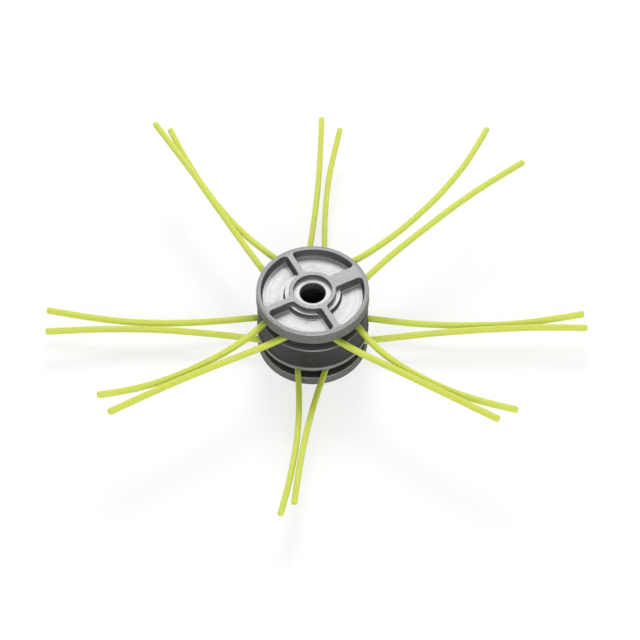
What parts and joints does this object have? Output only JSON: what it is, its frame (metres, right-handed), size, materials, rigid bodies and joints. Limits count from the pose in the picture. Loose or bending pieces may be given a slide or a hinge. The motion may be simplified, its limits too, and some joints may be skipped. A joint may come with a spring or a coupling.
{
  "type": "multi-line trimmer head",
  "caption": "Fixed-line trimmer head: stacked round alloy castings on a hollow hub, with pairs of stiff square nylon lines leaving two grooves.",
  "frame": {"origin": "on the hub axis at the bottom face of the bottom plate", "axes": "+Z along the hub axis up to the ribbed face that meets the gearbox, -Y towards the front pair of lines"},
  "size_m": [0.3659, 0.3366, 0.056],
  "materials": {
    "cast_alloy": "as cast, lightly blasted",
    "dark_cast_alloy": "dark, as cast",
    "screw_steel": "zinc plated",
    "nylon_line": "extruded, slightly translucent"
  },
  "bodies": {
    "root": {"top_plate": "cast_alloy", "middle_plate": "dark_cast_alloy", "bottom_plate": "cast_alloy", "upper_screw_1": "screw_steel", "upper_screw_2": "screw_steel", "upper_screw_3": "screw_steel", "upper_screw_4": "screw_steel", "lower_screw_1": "screw_steel", "lower_screw_2": "screw_steel", "lower_screw_3": "screw_steel", "lower_screw_4": "screw_steel", "upper_line_1": "nylon_line", "upper_line_2": "nylon_line", "upper_line_3": "nylon_line", "upper_line_4": "nylon_line", "lower_line_1": "nylon_line", "lower_line_2": "nylon_line", "lower_line_3": "nylon_line", "lower_line_4": "nylon_line"}
  },
  "joints": []
}
